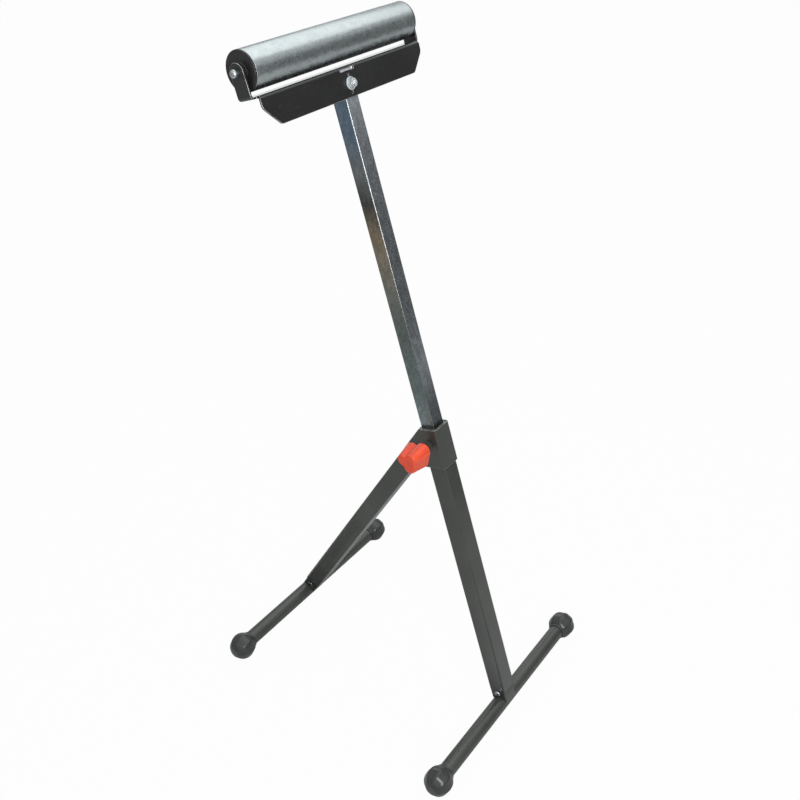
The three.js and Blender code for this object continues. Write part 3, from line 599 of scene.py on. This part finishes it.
def nutProfile(flats, bore, start, end):
    return np.concatenate([[(start + 0.5, bore), (start, bore + 0.5)], coneRows(flats, start, 1),
                           coneRows(flats, end, -1)[::-1], [(end, bore + 0.5), (end - 0.5, bore)]])


def washerProfile(radius, bore, start, end):
    return rounded([(start, bore, 0.2), (start, radius, 0.35), (end, radius, 0.35), (end, bore, 0.2)], 3, closed=True)


def shankRows(size, seat, first, tip, pitch):  # plain shank, then close rows for the thread, then a chamfered tip
    rows = np.arange(first, tip - 0.8, pitch / 8)
    return np.concatenate([[(seat, size), (first - 0.1, size)], np.stack([rows, rows * 0 + size], -1),
                           [(tip - 0.7, size - 0.1), (tip, size - 0.8), (tip, 0)]])


def boltProfile(flats, size, start, seat, first, tip, pitch):
    cone = coneRows(flats, start, 1)
    return np.concatenate([[(start, 0)], cone, [(seat, cone[-1][1])], shankRows(size, seat, first, tip, pitch)])


# fasteners: hinge bolt across the cheeks, head bolt through the post, weld nut, slotted foot screws
fastenerSetup = {
    "hinge": {"up": 475.5, "back": 30.5, "flats": 13.0, "size": 4.0, "pitch": 1.25, "washer": 17.35, "washerRadius": 8.5,
              "thick": 1.6, "gap": 0.3, "nut": 6.5, "head": 5.3, "past": 2.0},
    "head": {"up": 984.3, "flats": 10.0, "size": 3.0, "pitch": 1.0, "nutWasher": 14.6, "boltWasher": 11.8,
             "washerRadius": 8.0, "thick": 1.6, "gap": 0.3, "nut": 5.0, "head": 4.0, "past": 2.0},
    "weldNut": {"up": 487.0, "flats": 13.0, "bore": 4.3, "seat": 17.35, "height": 8.0},
    "foot": {"up": 19.5, "flats": 10.0, "size": 3.0, "pitch": 1.0, "seat": 14.55, "nut": 5.0, "past": 2.0,
             "panRadius": 5.3, "rim": 1.2, "crown": 2.4, "slot": 0.65, "slotTurn": 62.0, "gap": 0.3},
}


def makeHingeBolt(s):
    middle, bore = (0, s["back"], s["up"]), s["size"] + s["gap"]
    seat = s["washer"] + s["thick"] + s["gap"]
    tip = seat + s["nut"] + s["past"]
    shape = bothShapes(threadShape(s["size"], s["pitch"], seat, tip - 0.75), hexShape(s["flats"]))
    bolt = boltProfile(s["flats"], s["size"], -seat - s["head"], -seat, seat + 0.05, tip, s["pitch"])
    makePiece("hingeBolt", [turned(bolt, middle, shape=shape)], mainPlace, "brightZinc", ["hinge_bolt"], 25)
    nut = nutProfile(s["flats"], bore, seat, seat + s["nut"])
    makePiece("hingeNut", [turned(nut, middle, shape=hexShape(s["flats"]), closed=True)], mainPlace, "brightZinc",
              ["hinge_nut"], 25)
    ring = washerProfile(s["washerRadius"], bore, s["washer"], s["washer"] + s["thick"])
    for side, sign in (("left", -1), ("right", 1)):
        makePiece("hingeWasher." + side, [turned(ring * [sign, 1], middle, turns=64, closed=True)], mainPlace,
                  "brightZinc", ["hinge_washer_" + side])


def makeHeadBolt(s):
    middle, bore = (0, 0, s["up"]), s["size"] + s["gap"]
    nutSeat = s["nutWasher"] + s["thick"] + s["gap"]
    headSeat = s["boltWasher"] + s["thick"] + s["gap"]
    tip = nutSeat + s["nut"] + s["past"]
    forward = np.array([-1, 1])
    shape = bothShapes(threadShape(s["size"], s["pitch"], nutSeat, tip - 0.75), hexShape(s["flats"], 30))
    bolt = boltProfile(s["flats"], s["size"], -headSeat - s["head"], -headSeat, nutSeat + 0.05, tip, s["pitch"])
    makePiece("headBolt", [turned(bolt * forward, middle, "y", shape=shape)], mainPlace, "clearZinc",
              ["head_bolt"], 25)
    nut = nutProfile(s["flats"], bore, nutSeat, nutSeat + s["nut"])
    makePiece("headNut", [turned(nut * forward, middle, "y", shape=hexShape(s["flats"], 30), closed=True)], mainPlace,
              "clearZinc", ["head_nut"], 25)
    for side, start, way in (("front", s["nutWasher"], forward), ("rear", s["boltWasher"], 1)):
        ring = washerProfile(s["washerRadius"], bore, start, start + s["thick"]) * way
        makePiece("headWasher." + side, [turned(ring, middle, "y", turns=64, closed=True)], mainPlace, "clearZinc",
                  ["head_washer_" + side])


def makeWeldNut(s):
    nut = nutProfile(s["flats"], s["bore"], -s["seat"] - s["height"], -s["seat"])
    makePiece("clampWeldNut", [turned(nut, (0, 0, s["up"]), shape=hexShape(s["flats"]), closed=True)], mainPlace,
              "darkPaint", ["clamp_weld_nut"], 25)


# slotted pan head: chords of a disc give the rows, so the slot's walls are straight;
# height = rim + crown * (1 - (r / radius)^3)^0.6, and the slot's floor is level with the rim
def makeFootScrew(s, row, place, finish):
    radius, turn = s["panRadius"], math.radians(s["slotTurn"])
    beside = np.linspace(s["slot"], radius, 12)
    across = np.concatenate([-beside[::-1], [-s["slot"], s["slot"]], beside])
    floor = np.abs(np.arange(len(across)) - (len(across) - 1) / 2) < 1
    reach = np.sqrt(np.maximum(radius ** 2 - across ** 2, 0))
    p = reach[:, None] * np.linspace(-1, 1, 25)
    q = across[:, None] + 0 * p
    share = np.minimum(np.hypot(p, q) / radius, 1)
    height = s["rim"] + np.where(floor[:, None], 0, s["crown"] * (1 - share ** 3) ** 0.6)
    top = np.stack([-s["seat"] - height, p * math.cos(turn) - q * math.sin(turn),
                    p * math.sin(turn) + q * math.cos(turn) + s["up"]], -1).reshape(-1, 3)
    ends = np.concatenate([np.arctan2(across, reach), np.arctan2(across, -reach)[::-1]])  # rim's angles in order
    tip = s["seat"] + s["nut"] + s["past"]
    skirt = np.concatenate([[(-s["seat"] - s["rim"], radius), (-s["seat"] - 0.3, radius), (-s["seat"], radius - 0.3)],
                            shankRows(s["size"], -s["seat"], s["seat"] + 0.05, tip, s["pitch"])])
    shank = turned(skirt, (0, 0, s["up"]), turns=math.pi / 2 - ends - turn,
                   shape=threadShape(s["size"], s["pitch"], s["seat"], tip - 0.75))
    makePiece(row + "FootScrew", [(top, gridFaces(*p.shape, columnsClose=False)), shank], place, finish,
              [row + "_foot_screw"], 35)
    nut = nutProfile(s["flats"], s["size"] + s["gap"], s["seat"], s["seat"] + s["nut"])
    makePiece(row + "FootNut", [turned(nut, (0, 0, s["up"]), shape=hexShape(s["flats"]), closed=True)], place,
              "brightZinc", [row + "_foot_nut"], 25)


makeHingeBolt(fastenerSetup["hinge"])
makeHeadBolt(fastenerSetup["head"])
makeWeldNut(fastenerSetup["weldNut"])
makeFootScrew(fastenerSetup["foot"], "front", mainPlace, "brightZinc")
# the rear foot screw's zinc is painted darker as painted shade
makeFootScrew(fastenerSetup["foot"], "rear", rearPlace, "shadedZinc")
print("fasteners made")

# clamp knob: a trefoil of three circles growing out of a round neck; with q the angle from a lobe's middle,
# r = radius * (reach * cos(q) + sqrt(lobe^2 - (reach * sin(q))^2)), and one valley is filled by a flat side
knobSetup = {"up": 487.0, "radius": 18.8, "reach": 0.55, "lobe": 0.65, "turn": 64.0, "length": 31.0, "taper": 0.74,
             "neck": 8.6, "neckLength": 11.5, "nutEnd": 25.35, "standoff": 3.0, "stud": 16.0,
             "screw": 4.0, "gap": 0.3, "tip": 11.8, "pitch": 1.25}


def makeKnob(s):
    base = s["nutEnd"] + s["standoff"] + s["neckLength"]
    bore, end = s["screw"] + s["gap"], s["radius"] * s["taper"]
    profile = rounded([
        (s["stud"] + s["gap"], 0), (s["stud"] + s["gap"], bore), (-s["neckLength"], bore),
        (-s["neckLength"], s["neck"], 0.7), (-0.6, s["neck"], 1.0), (0, s["neck"] + 2), (0, s["radius"], 1.8),
        (s["length"], end, 3.0), (s["length"], end * 0.62, 4.0), (s["length"] - 0.9, 0)], 8)
    profile = np.concatenate([profile[:-1], np.linspace(profile[-2], profile[-1], 6)[1:]])

    def lobes(radius, t, along):
        body = (radius > s["neck"] + 0.01) | (-along - base > s["stud"] + 1)
        grow = smoothStep(radius, s["neck"], end * 0.75) * body
        q = np.mod(t - math.radians(s["turn"]) + math.pi / 3, 2 * math.pi / 3) - math.pi / 3
        fill = np.hypot(1 - np.abs(q) * 3 / math.pi, 0.16) - 0.16  # rounds the bottom of the valleys
        q = math.pi / 3 * (1 - fill / (math.hypot(1, 0.16) - 0.16))
        trefoil = s["reach"] * np.cos(q) + np.sqrt(s["lobe"] ** 2 - (s["reach"] * np.sin(q)) ** 2)
        off = np.mod(t - math.radians(s["turn"]), 2 * math.pi) - math.pi
        side = (s["reach"] / 2 + s["lobe"]) / np.cos(np.clip(off, -1, 1))
        trefoil = np.where(np.abs(off) < 0.6, np.maximum(side * 0.995, trefoil), trefoil)
        return radius * (1 + grow * (trefoil - 1))

    middle = (0, 0, s["up"])
    makePiece("clampKnob", [turned((profile + [base, 0]) * [-1, 1], middle, turns=240, shape=lobes)], mainPlace,
              "orangePlastic", ["clamp_knob"], 40)
    rows = np.arange(s["tip"] + 1, base + s["stud"], s["pitch"] / 8)
    rod = np.concatenate([[(s["tip"], 0), (s["tip"], s["screw"] - 1)], np.stack([rows, rows * 0 + s["screw"]], -1),
                          [(base + s["stud"], s["screw"] - 1), (base + s["stud"], 0)]])
    makePiece("clampScrew", [turned(rod * [-1, 1], middle, turns=48,
                                    shape=threadShape(s["screw"], s["pitch"], s["tip"], base + s["stud"]))],
              mainPlace, "brightZinc", ["clamp_screw"], 60)


makeKnob(knobSetup)
print("clamp knob made")

# folded sheets: merged copies of the frame's solids with softened edges
sheetSetup = {"head_bracket": {"name": "headBracket", "finish": "blackPaint", "edge": 0.5},
              "hinge_bracket": {"name": "hingeBracket", "finish": "darkPaint", "edge": 0.5}}


def makeSheet(node, s):
    mesh = nodes[node].data.copy()
    mesh.name = s["name"]
    work = bmesh.new()
    work.from_mesh(mesh)
    bmesh.ops.remove_doubles(work, verts=work.verts, dist=1e-5)
    bmesh.ops.dissolve_limit(work, angle_limit=math.radians(1), verts=work.verts, edges=work.edges)
    sharp = [e for e in work.edges if len(e.link_faces) == 2 and e.calc_face_angle() > math.radians(40)]
    wear = work.faces.layers.float.new("edgeWear")
    cut = bmesh.ops.bevel(work, geom=sharp, offset=s["edge"] * mm, offset_type="OFFSET", segments=3, profile=0.5,
                          affect="EDGES", clamp_overlap=False)
    for face in cut["faces"]:
        face[wear] = 1.0
    work.to_mesh(mesh)
    work.free()
    thing = dress(s["name"], mesh, s["finish"], [node], 50)
    evened = thing.modifiers.new("evenShading", "WEIGHTED_NORMAL")
    evened.keep_sharp = True


for node, s in sheetSetup.items():
    makeSheet(node, s)
print("sheets made")

for node, thing in nodes.items():
    if not thing.hide_render:
        slot = next(p["material_slot"] for p in frame["record"]["subparts"] if p["node"] == node)
        finish = next(f for f, s in slotOf.items() if s == slot)
        thing.data.materials.clear()
        thing.data.materials.append(finishes[finish])
        print("solid kept:", node)

# plain pale floor: the camera sees it near white, with the stand's shadow kept
floorSetup = {"half": 14.0, "albedo": 0.55, "white": 0.97}
floorMesh = bpy.data.meshes.new("floorSheet")
floorCorners = np.array([[-1, -1, 0], [1, -1, 0], [1, 1, 0], [-1, 1, 0]]) * floorSetup["half"] + [0, 0, -0.0004]
floorMesh.from_pydata(floorCorners.tolist(), [], [(0, 1, 2, 3)])
floorSheet = bpy.data.objects.new("floorSheet", floorMesh)
scene.collection.objects.link(floorSheet)
floorFinish = Finish("palePaper", 0.9)
floorFinish.shader.inputs["Base Color"].default_value = (floorSetup["albedo"],) * 3 + (1.0,)
seen = floorFinish.add("ShaderNodeLightPath", {}, {}, "Is Camera Ray")
glow = floorFinish.add("ShaderNodeEmission", {}, {"Color": (1, 1, 1, 1), "Strength": 1.0})
plain = Wire(floorFinish, floorFinish.shader.outputs[0])
mixed = floorFinish.add("ShaderNodeMixShader", {}, {0: seen * floorSetup["white"], 1: plain, 2: glow})
floorFinish.feed(floorFinish.tree.nodes["Material Output"], {"Surface": mixed})
floorMesh.materials.append(floorFinish.material)

# cards out of the camera's sight give the metal its dark band and the head's top its pale sheen
cardSetup = {
    "darkCard": {"place": (2.1, -1.9, 0.9), "aim": (0, 0.1, 0.95), "half": (1.3, 0.95), "shade": 0.25, "glow": 0.0},
    "lowCard": {"place": (1.25, 0.25, 0.02), "aim": (1.25, 0.25, 1.0), "half": (0.5, 0.65), "shade": 0.1, "glow": 0.0},
    "paleCard": {"place": (1.3, 1.3, 0.7), "aim": (0, 0.1, 0.95), "half": (0.6, 0.33), "shade": 0.8, "glow": 0.9},
}


def facing(place, aim):  # turns that point an object's own -Z from place to aim
    away = np.array(place) - np.array(aim)
    return math.acos(away[2] / np.linalg.norm(away)), 0, math.atan2(away[0], -away[1])


def makeCard(name, s):
    mesh = bpy.data.meshes.new(name)
    wide, tall = s["half"]
    mesh.from_pydata([(-wide, -tall, 0), (wide, -tall, 0), (wide, tall, 0), (-wide, tall, 0)], [], [(0, 1, 2, 3)])
    card = bpy.data.objects.new(name, mesh)
    card.location, card.rotation_euler = s["place"], facing(s["place"], s["aim"])
    card.visible_camera = card.visible_diffuse = card.visible_shadow = False
    scene.collection.objects.link(card)
    finish = Finish(name, 0.9)
    finish.shader.inputs["Base Color"].default_value = (s["shade"],) * 3 + (1.0,)
    finish.shader.inputs["Emission Color"].default_value = (1, 1, 1, 1)
    finish.shader.inputs["Emission Strength"].default_value = s["glow"]
    mesh.materials.append(finish.material)


for name, s in cardSetup.items():
    makeCard(name, s)

# soft studio light: a room that is brighter overhead, and softboxes
lampSetup = {
    "overhead": {"place": (1.1, 0.3, 2.9), "aim": (0, 0, 0.6), "size": (3.0, 3.0), "power": 23.0},
    "leftSide": {"place": (-2.2, -0.6, 1.6), "aim": (0, 0, 0.6), "size": (1.2, 1.6), "power": 2.0},
    "nearCamera": {"place": (-0.78, -1.08, 1.35), "aim": (0, 0, 0.7), "size": (0.3, 1.5), "power": 14.0},
}
for name, s in lampSetup.items():
    data = bpy.data.lights.new(name, "AREA")
    data.shape, data.energy = "RECTANGLE", s["power"]
    data.size, data.size_y = s["size"]
    lamp = bpy.data.objects.new(name, data)
    lamp.location, lamp.rotation_euler = s["place"], facing(s["place"], s["aim"])
    scene.collection.objects.link(lamp)
roomSetup = {"horizon": (0.33, 0.34, 0.35), "above": (0.76, 0.78, 0.79), "from": 0.1, "to": 0.85}
world = bpy.data.worlds.new("paleRoom")
world.use_nodes = True
room = world.node_tree
way = room.nodes.new("ShaderNodeTexCoord")
parts = room.nodes.new("ShaderNodeSeparateXYZ")
rise = room.nodes.new("ShaderNodeMapRange")
rise.inputs["From Min"].default_value, rise.inputs["From Max"].default_value = roomSetup["from"], roomSetup["to"]
shades = room.nodes.new("ShaderNodeMix")
shades.data_type = "RGBA"
shades.inputs[6].default_value, shades.inputs[7].default_value = (*roomSetup["horizon"], 1), (*roomSetup["above"], 1)
room.links.new(way.outputs["Generated"], parts.inputs[0])
room.links.new(parts.outputs["Z"], rise.inputs["Value"])
room.links.new(rise.outputs[0], shades.inputs["Factor"])
seenWhite = room.nodes.new("ShaderNodeMix")
seenWhite.data_type = "RGBA"
seenWhite.inputs[7].default_value = (1, 1, 1, 1)
room.links.new(room.nodes.new("ShaderNodeLightPath").outputs["Is Camera Ray"], seenWhite.inputs["Factor"])
room.links.new(shades.outputs[2], seenWhite.inputs[6])
room.links.new(seenWhite.outputs[2], room.nodes["Background"].inputs["Color"])
scene.world = world
print("stage and lamps set")
